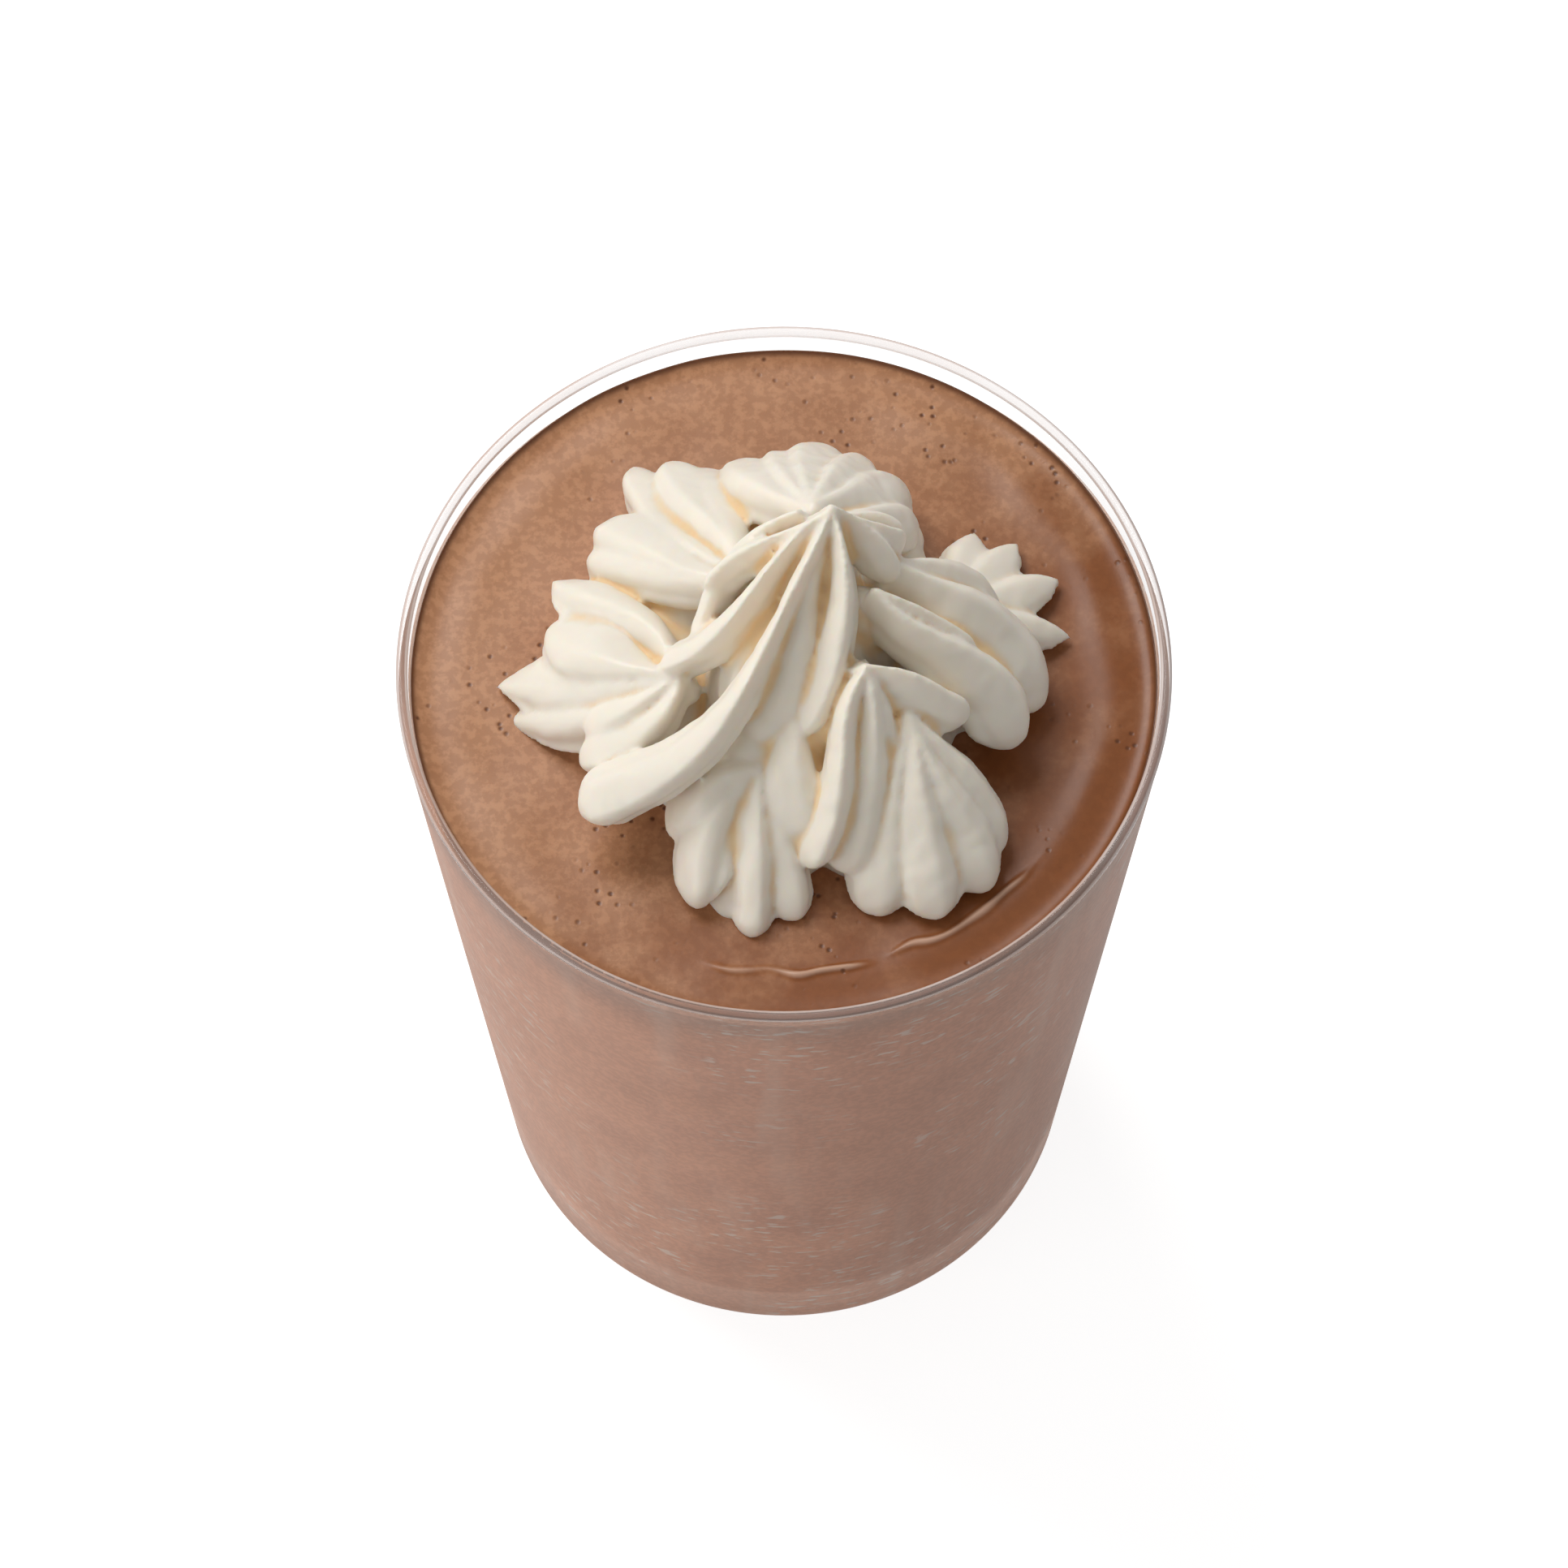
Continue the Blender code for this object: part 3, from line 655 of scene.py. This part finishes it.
def milkshake_material(drink):
    """Brown drink with painted sheen and light at the back left, lighter foam in clouds and small dark pits
    where bubbles broke.
    """
    material, shader, surface, place = new_material("Chocolate milkshake")
    cloud = shader.mottling(place, 110.0, 4.0, 0.36, 0.66, roughness=0.6)
    fine = shader.noise(place, 900.0, 3.0, 0.6)
    sides = shader.add("ShaderNodeSeparateXYZ", {0: place}).outputs

    # Painted sheen and light make the drink lighter at the back left, where the key light falls and shines,
    # with clouds of lighter foam over it
    to_back = shader.math("MULTIPLY", sides[1], 0.6)
    lit_side = shader.math("SUBTRACT", to_back, shader.math("MULTIPLY", sides[0], 0.75))
    froth_and_sheen = shader.spread(lit_side, -38 * MM, 14 * MM, 0.0, 0.92)
    froth_and_sheen = shader.math("ADD", froth_and_sheen, shader.math("MULTIPLY", shader.math("SUBTRACT", cloud, 0.45), 0.45))
    froth_and_sheen = shader.spread(froth_and_sheen, 0.0, 1.0)
    colour = shader.mix(froth_and_sheen, opaque(drink.colour), opaque(drink.froth_and_sheen_colour))
    dark = [channel * 0.72 for channel in drink.colour]
    colour = shader.mix(shader.spread(fine, 0.62, 0.42, 0.0, 0.28), colour, opaque(dark))

    # The edge against the wall is darker, and the thin fold gets a painted highlight
    flat = shader.add("ShaderNodeCombineXYZ", {0: sides[0], 1: sides[1]}).outputs[0]
    reach = shader.add("ShaderNodeVectorMath", {0: flat}, operation="LENGTH").outputs["Value"]
    darkest = [channel * 0.45 for channel in drink.colour]
    colour = shader.mix(shader.spread(reach, *drink.edge), colour, opaque(darkest))
    fold = shader.add("ShaderNodeAttribute", attribute_name="fold").outputs["Fac"]
    colour = shader.mix(shader.spread(fold, 0.1, 0.85, 0.0, 0.8), colour, opaque(drink.fold_highlight_colour))

    # The pits lie together in some places and leave others free
    pits = shader.add(
        "ShaderNodeTexVoronoi", {"Vector": place, "Scale": 640.0, "Randomness": 1.0}).outputs["Distance"]
    where = shader.mottling(place, 90.0, 3.0, 0.5, 0.62)
    spots = shader.math("MULTIPLY", shader.spread(pits, 0.26, 0.06), where)
    colour = shader.mix(spots, colour, opaque(drink.pit_colour))
    shader.tree.links.new(colour, surface.inputs["Base Color"])
    surface.inputs["Roughness"].default_value = drink.roughness
    surface.inputs["Specular IOR Level"].default_value = 0.35
    surface.inputs["Subsurface Weight"].default_value = 0.1
    surface.inputs["Subsurface Radius"].default_value = (1.0, 0.5, 0.3)
    surface.inputs["Subsurface Scale"].default_value = 1.0 * MM
    height = shader.math("SUBTRACT", shader.math("MULTIPLY", fine, 0.3), spots)
    shader.tree.links.new(shader.bump(height, 0.08 * MM, 0.6), surface.inputs["Normal"])
    return material


def cream_material(cream):
    """Warm white cream with painted shade that turns greyer, then warmer and yellower, down in the folds.
    """
    material, shader, surface, place = new_material("Whipped cream")
    hollow = shader.add("ShaderNodeAttribute", attribute_name="hollow").outputs["Fac"]
    soft = shader.mottling(place, 160.0, 3.0, 0.3, 0.7)
    duller = [channel * 0.975 for channel in cream.colour]
    colour = shader.mix(soft, opaque(cream.colour), opaque(duller))
    # Painted shade: greyer in shallow hollows, then warm yellow in deep ones
    shade = [channel * 0.94 for channel in cream.colour]
    colour = shader.mix(shader.spread(hollow, 0.02, 0.3), colour, opaque(shade))
    colour = shader.mix(shader.spread(hollow, 0.1, 0.65), colour, opaque(cream.hollow_shade_colour))
    shader.tree.links.new(colour, surface.inputs["Base Color"])
    surface.inputs["Roughness"].default_value = cream.roughness
    surface.inputs["Subsurface Weight"].default_value = 0.5
    surface.inputs["Subsurface Radius"].default_value = (1.0, 0.62, 0.34)
    surface.inputs["Subsurface Scale"].default_value = 1.1 * MM
    fine = shader.noise(place, 1100.0, 3.0)
    shader.tree.links.new(shader.bump(fine, 0.03 * MM, 0.5), surface.inputs["Normal"])
    return material


def lean_mist_edge(mesh, tumbler, walls):
    """Tilts the ring of points where the mist ends, and keeps it on the outer wall."""
    line = tumbler.mist_line
    outer = walls.outer(line)
    for vert in mesh.vertices:
        if abs(vert.co.z - line) < NEAR and hypot(vert.co.x, vert.co.y) > outer - tumbler.rim_wall / 2:
            height = line - tumbler.mist_lean * vert.co.y / outer
            vert.co *= walls.outer(height) / outer
            vert.co.z = height


def finish_of(face, mesh, lip_z):
    """The place of a face's finish in the tumbler's list of materials."""
    heights = [mesh.vertices[index].co.z for index in face.vertices]
    outward = face.center.x * face.normal.x + face.center.y * face.normal.y > 0
    if min(heights) > lip_z - NEAR:
        return RIM
    if not outward or max(heights) <= MIST_FOOT:
        return CLEAR
    return THIN if max(heights) > lip_z - NEAR else MISTED


class SHAKE_OT_tumbler(bpy.types.Operator):
    """Turns the tumbler, clear at the rim and inside and misted outside"""

    bl_idname = "shake.tumbler"
    bl_label = "Tumbler"

    def execute(self, context):
        tumbler = settings(context)[0]
        walls = Walls(tumbler)
        lip = tumbler.rim_wall / 2
        lip_x, lip_z = tumbler.rim_radius - lip, tumbler.height - lip
        foot = walls.corner(walls.outer, 0.0, tumbler.foot_corner, TUMBLER_CORNER_STEPS)
        hollow = walls.corner(
            walls.inner, tumbler.floor_thickness, tumbler.floor_corner, TUMBLER_CORNER_STEPS)
        line = tumbler.mist_line
        outside = arc(lip_x, lip_z, lip, 90, 0, LIP_STEPS) + [(walls.outer(line), line)]
        outside += run_down(walls.outer, line - MIST_EDGE_ROOM, foot[0][1], TUMBLER_WALL_STEPS) + foot[1:]
        outside += [(foot[-1][0] * FLOOR_RING, 0.0), (0.0, 0.0)]
        inside = run_down(walls.inner, lip_z, hollow[0][1], TUMBLER_WALL_STEPS) + hollow[1:]
        inside += [(hollow[-1][0] * FLOOR_RING, tumbler.floor_thickness), (0.0, tumbler.floor_thickness)]
        inside.reverse()
        inside += arc(lip_x, lip_z, lip, 180, 90, LIP_STEPS)[1:-1]
        obj = turned("tumbler", inside + outside, TUMBLER_SEGMENTS)
        lean_mist_edge(obj.data, tumbler, walls)
        for make in (clear_glass_material, rim_glass_material, misted_glass_material, thin_glass_material):
            obj.data.materials.append(make(tumbler))
        for face in obj.data.polygons:
            face.material_index = finish_of(face, obj.data, lip_z)
        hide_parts("glass")
        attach(obj, "root")
        return {"FINISHED"}


def surface_height(x, y, radius, drink):
    """How far the surface stands above the drink's level at a place, and the share of its fold there."""
    edge = hypot(x, y)
    turn = atan2(y, x) * 180 / pi
    height = drink.meniscus * exp(-(radius - edge) / RISE_FADE)
    sway = noise.noise(Vector((x, y, 0)) * RING_SWAY_SCALE) * RING_SWAY
    ring = (edge - RING_RADIUS - sway) / RING_WIDTH
    side = RING_LEFT_SHARE + (1 - RING_LEFT_SHARE) * max(0.0, cos(radians(turn)))
    height += RING_HEIGHT * exp(-ring * ring) * side
    height += WAVE_HEIGHT * noise.noise(Vector((x, y, 3)) * WAVE_SCALE)
    fade = max(0.0, min(1.0, (turn - FOLD_START) / START_FADE, (FOLD_END - turn) / END_FADE))
    wobble = noise.noise(Vector((x, y, 7)) * FOLD_SWAY_SCALE) * FOLD_SWAY
    fold = (edge - FOLD_RADIUS - wobble) / FOLD_WIDTH
    change = FOLD_CHANGE * noise.noise(Vector((turn * FOLD_BREAKS, 0, 5)))
    broken = min(1.0, max(0.0, FOLD_MEAN + change))
    fold = fade * broken * exp(-fold * fold)
    return height + drink.fold * fold, fold


class SHAKE_OT_milkshake(bpy.types.Operator):
    """Fills the tumbler with milkshake, with its froth, folds and meniscus"""

    bl_idname = "shake.milkshake"
    bl_label = "Milkshake"

    def execute(self, context):
        tumbler, drink, _cream, _stage = settings(context)
        walls = Walls(tumbler)

        def radius_at(z):
            return walls.inner(z) + drink.overlap

        top_radius = radius_at(drink.level)
        floor = tumbler.floor_thickness - drink.overlap
        hollow = walls.corner(radius_at, floor, tumbler.floor_corner, DRINK_CORNER_STEPS)
        coarse = [COARSE_REACH * ring / COARSE_RINGS for ring in range(COARSE_RINGS)]
        room = top_radius - COARSE_REACH
        fine = [COARSE_REACH + room * ring / FINE_RINGS for ring in range(FINE_RINGS)]
        top = [(reach, drink.level) for reach in coarse + fine]
        profile = top + run_down(radius_at, drink.level, hollow[0][1], DRINK_WALL_STEPS) + hollow[1:]
        profile.append((0.0, floor))
        obj = turned("chocolate_milkshake", profile, DRINK_SEGMENTS)
        folds = [0.0] * len(obj.data.vertices)
        for vert in obj.data.vertices:
            if vert.co.z > drink.level - NEAR:
                height, folds[vert.index] = surface_height(vert.co.x, vert.co.y, top_radius, drink)
                vert.co.z += height
        obj.data.attributes.new("fold", "FLOAT", "POINT").data.foreach_set("value", folds)
        obj.data.materials.append(milkshake_material(drink))
        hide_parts("milkshake")
        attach(obj, "root")
        return {"FINISHED"}


def smooth_step(low, high, value):
    """0 below low, 1 above high, and an even S between them."""
    share = max(0.0, min(1.0, (value - low) / (high - low)))
    return share * share * (3 - 2 * share)


def crest(squeeze, ridge, s):
    """The point on a ridge's crest line a share s of the way from its start to its tip."""
    turn = radians(ridge.turn)
    leave = radians(ridge.turn + ridge.leave)
    arrive = radians(ridge.turn + ridge.arrive)
    drop = ridge.end - squeeze.top
    start = Vector((squeeze.x, squeeze.y, squeeze.top))
    tip = start + Vector((ridge.reach * cos(turn), ridge.reach * sin(turn), drop))
    pull = BEND_PULL * ridge.reach
    near = start + Vector((pull * cos(leave), pull * sin(leave), drop / 3))
    far = tip - Vector((pull * cos(arrive), pull * sin(arrive), drop / 3))
    point = (
        start * (1 - s) ** 3
        + near * 3 * s * (1 - s) ** 2
        + far * 3 * s * s * (1 - s)
        + tip * s ** 3
    )
    sway = ridge.wave * sin(2 * pi * s)
    point += Vector((-sway * sin(turn), sway * cos(turn), ridge.arch * 4 * s * (1 - s)))
    return point


def along_ridge(ridge, ring):
    """For a ring of the sphere, its share of the crest line and its share of the full section there."""
    cap = min(LONGEST_CAP, (0.5 + ridge.point) * ridge.wide / ridge.reach)
    if ring < ROOT_RINGS:
        angle = ring / ROOT_RINGS * pi / 2
        return 0.0, sin(angle)
    if ring <= 1 - TIP_RINGS:
        return (1 - cap) * (ring - ROOT_RINGS) / (1 - ROOT_RINGS - TIP_RINGS), 1.0
    angle = (ring - 1 + TIP_RINGS) / TIP_RINGS * pi / 2
    return 1 - cap + cap * sin(angle), max(cos(angle), 0.0) ** (1 + SHARPNESS * ridge.point)


def unit_sphere(sides, rings):
    """The points of a sphere of radius 1 and, for each face, the numbers of its points."""
    bm = bmesh.new()
    bmesh.ops.create_uvsphere(bm, u_segments=sides, v_segments=rings, radius=1.0)
    bm.verts.index_update()
    points = [vert.co.copy() for vert in bm.verts]
    faces = [[vert.index for vert in face.verts] for face in bm.faces]
    bm.free()
    return points, faces


def ridge_point(squeeze, ridge, point):
    """Where a point of the unit sphere goes when it is drawn out along the crest line into a blade."""
    across, lift, along = point
    s, full = along_ridge(ridge, acos(max(-1.0, min(1.0, -along))) / pi)
    place = crest(squeeze, ridge, s)
    ahead = crest(squeeze, ridge, min(s + CREST_STEP, 1))
    behind = crest(squeeze, ridge, max(s - CREST_STEP, 0))
    tangent = (ahead - behind).normalized()
    outward = place - Vector((squeeze.x, squeeze.y, 0.0))
    outward -= tangent * outward.dot(tangent)
    outward.normalize()
    side = outward.cross(tangent)
    round_about = max(hypot(across, lift), 1e-6)
    across, lift = across / round_about, lift / round_about
    if lift > 0:
        across = copysign(abs(across) ** PINCH, across) + TILT * lift * lift
    swell = smooth_step(ridge.swell - SWELL_SPAN, ridge.swell + SWELL_SPAN, s)
    width = ridge.narrow + (ridge.wide - ridge.narrow) * swell
    width *= 1 + FOOT_FLARE * max(0.0, -lift)
    depth = squeeze.depth * (1 - THINNING * s)
    return place + side * (width / 2 * across * full) + outward * (depth / 2 * (lift * full - 1))


def mound_point(mound, point):
    """Where a point of the unit sphere goes on a dome with a shallow skirt below the drink's surface."""
    turn = radians(mound.turn)
    along, across, up = point.x * mound.along, point.y * mound.across, point.z
    return Vector((
        mound.x + along * cos(turn) - across * sin(turn),
        mound.y + along * sin(turn) + across * cos(turn),
        mound.top * up if up > 0 else SKIRT * up,
    ))


def piped_heap(level):
    """Every ridge and mound as one loose mesh, in metres above the table."""
    points = []
    faces = []
    ball, ball_faces = unit_sphere(RIDGE_SIDES, RIDGE_RINGS)
    for squeeze in SQUEEZES.values():
        for ridge in squeeze.ridges:
            faces += [[len(points) + index for index in face] for face in ball_faces]
            points += [ridge_point(squeeze, ridge, point) for point in ball]
    dome, dome_faces = unit_sphere(MOUND_SIDES, MOUND_RINGS)
    for mound in MOUNDS:
        faces += [[len(points) + index for index in face] for face in dome_faces]
        points += [mound_point(mound, point) for point in dome]
    mesh = bpy.data.meshes.new("piped_whipped_cream")
    mesh.from_pydata([point * MM + Vector((0, 0, level)) for point in points], [], faces)
    return add_object("piped_whipped_cream", mesh)


def neighbour_mean(points, ends, degree):
    """For each point, the mean of the points that an edge joins it to."""
    total = np.zeros_like(points)
    for axis in range(3):
        total[:, axis] = np.bincount(ends[:, 0], points[ends[:, 1], axis], len(points))
        total[:, axis] += np.bincount(ends[:, 1], points[ends[:, 0], axis], len(points))
    return total / degree[:, None]


def at_points(mesh, name):
    """The places ("co") or the normals ("normal") of a mesh's points, one row each."""
    values = np.empty(len(mesh.vertices) * 3)
    mesh.vertices.foreach_get(name, values)
    return values.reshape(-1, 3)


def mark_hollows(mesh):
    """Stores on each point how deep it lies in a fold, from 0 on open surfaces to 1."""
    count = len(mesh.vertices)
    points = at_points(mesh, "co")
    normals = at_points(mesh, "normal")
    ends = np.empty(len(mesh.edges) * 2, int)
    mesh.edges.foreach_get("vertices", ends)
    ends = ends.reshape(-1, 2)
    degree = np.maximum(np.bincount(ends.ravel(), minlength=count), 1)
    spread = points.copy()
    for _pass in range(HOLLOW_PASSES):
        spread = neighbour_mean(spread, ends, degree)
    depth = ((spread - points) * normals).sum(axis=1) / HOLLOW_DEPTH
    colours = np.ones((count, 4), np.float32)
    colours[:, :3] = np.clip(depth, 0, 1)[:, None]
    layer = mesh.attributes.new("hollow", "FLOAT_COLOR", "POINT")
    layer.data.foreach_set("color", colours.ravel())


class SHAKE_OT_cream(bpy.types.Operator):
    """Pipes the whipped cream and melts its folds into one soft heap"""

    bl_idname = "shake.cream"
    bl_label = "Whipped cream"

    def execute(self, context):
        _tumbler, drink, cream, _stage = settings(context)
        obj = piped_heap(drink.level)
        remesh = obj.modifiers.new("Fuse", "REMESH")
        remesh.mode = "VOXEL"
        remesh.voxel_size = cream.voxel
        soften = obj.modifiers.new("Soften", "SMOOTH")
        soften.factor = 0.5
        soften.iterations = 2
        settle(obj)

        bm = bmesh.new()
        bm.from_mesh(obj.data)
        for vert in bm.verts:
            wave = sum(noise.noise(vert.co * scale) * height for scale, height in UNEVENNESS)
            vert.co += vert.normal * wave
        bottom = drink.level - CREAM_SINK
        bmesh.ops.bisect_plane(
            bm, geom=list(bm.verts) + list(bm.edges) + list(bm.faces),
            plane_co=(0, 0, bottom), plane_no=(0, 0, 1), clear_inner=True)
        bmesh.ops.holes_fill(bm, edges=[edge for edge in bm.edges if edge.is_boundary], sides=0)
        bm.to_mesh(obj.data)
        bm.free()
        mark_hollows(obj.data)
        obj.data.shade_smooth()
        obj.data.materials.clear()
        obj.data.materials.append(cream_material(cream))
        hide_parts("whipped_cream")
        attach(obj, "root")
        return {"FINISHED"}


def point_at(obj, target):
    obj.rotation_euler = (Vector(target) - obj.location).to_track_quat("-Z", "Y").to_euler()


def area_light(name, place, width, power):
    light = bpy.data.lights.new(name, "AREA")
    light.shape = "DISK"
    light.size = width
    light.energy = power
    obj = add_object(name, light)
    obj.location = place
    point_at(obj, LIGHT_TARGET)


class SHAKE_OT_stage(bpy.types.Operator):
    """Sets the pale floor, the soft lights and the camera"""

    bl_idname = "shake.stage"
    bl_label = "Stage"

    def execute(self, context):
        stage = settings(context)[3]
        bm = bmesh.new()
        bmesh.ops.create_grid(bm, x_segments=1, y_segments=1, size=stage.floor_size / 2)
        floor = mesh_object("floor", bm)
        floor.location.z = -FLOOR_DROP
        material, shader, surface, _place = new_material("Pale floor")
        surface.inputs["Base Color"].default_value = (0.5, 0.5, 0.5, 1)
        surface.inputs["Roughness"].default_value = 0.7
        surface.inputs["Emission Color"].default_value = (1, 1, 1, 1)
        paths = shader.add("ShaderNodeLightPath").outputs
        seen = shader.math("MAXIMUM", paths["Is Camera Ray"], paths["Is Transmission Ray"])
        glow = shader.math("ADD", shader.math("MULTIPLY", seen, SEEN_GLOW), FLOOR_GLOW)
        shader.tree.links.new(glow, surface.inputs["Emission Strength"])
        floor.data.materials.append(material)

        area_light("Key", KEY_PLACE, KEY_WIDTH, stage.key_power)
        area_light("Fill", FILL_PLACE, FILL_WIDTH, stage.fill_power)
        world = bpy.data.worlds.new("Studio")
        world.use_nodes = True
        sky = world.node_tree.nodes["Background"]
        sky.inputs["Color"].default_value = (1, 1, 1, 1)
        # The camera sees white all round, whatever the strength of the light from there
        air = Shader(world.node_tree)
        seen = air.add("ShaderNodeLightPath").outputs["Is Camera Ray"]
        strength = air.math("MAXIMUM", seen, stage.sky)
        air.tree.links.new(strength, sky.inputs["Strength"])
        context.scene.world = world

        camera = add_object("Camera", bpy.data.cameras.new("Camera"))
        camera.data.lens = stage.lens
        camera.data.sensor_width = 36.0
        camera.data.clip_start = 0.01
        reach = stage.distance
        height = stage.look_height + reach * sin(stage.elevation)
        camera.location = (0, -reach * cos(stage.elevation), height)
        point_at(camera, (0, 0, stage.look_height))
        context.scene.camera = camera
        context.scene.view_settings.view_transform = "Standard"
        return {"FINISHED"}


class SHAKE_PT_panel(bpy.types.Panel):
    """Lists the pieces and their settings"""

    bl_label = "Chocolate Milkshake"
    bl_idname = "SHAKE_PT_panel"
    bl_space_type = "VIEW_3D"
    bl_region_type = "UI"
    bl_category = "Milkshake"

    def draw(self, context):
        for group, operator in zip(settings(context), OPERATORS):
            box = self.layout.box()
            for name in group.bl_rna.properties.keys():
                if name not in ("rna_type", "name"):
                    box.prop(group, name)
            box.operator(operator.bl_idname)


OPERATORS = (SHAKE_OT_tumbler, SHAKE_OT_milkshake, SHAKE_OT_cream, SHAKE_OT_stage)
CLASSES = (TumblerSettings, DrinkSettings, CreamSettings, StageSettings, *OPERATORS, SHAKE_PT_panel)


def register():
    for item in CLASSES:
        bpy.utils.register_class(item)
    scene = bpy.types.Scene
    scene.shake_tumbler = bpy.props.PointerProperty(type=TumblerSettings)
    scene.shake_drink = bpy.props.PointerProperty(type=DrinkSettings)
    scene.shake_cream = bpy.props.PointerProperty(type=CreamSettings)
    scene.shake_stage = bpy.props.PointerProperty(type=StageSettings)


def unregister():
    scene = bpy.types.Scene
    del scene.shake_tumbler
    del scene.shake_drink
    del scene.shake_cream
    del scene.shake_stage
    for item in reversed(CLASSES):
        bpy.utils.unregister_class(item)


def main():
    register()
    bpy.ops.shake.stage()
    bpy.ops.shake.tumbler()
    bpy.ops.shake.milkshake()
    bpy.ops.shake.cream()


if __name__ == "__main__":
    main()
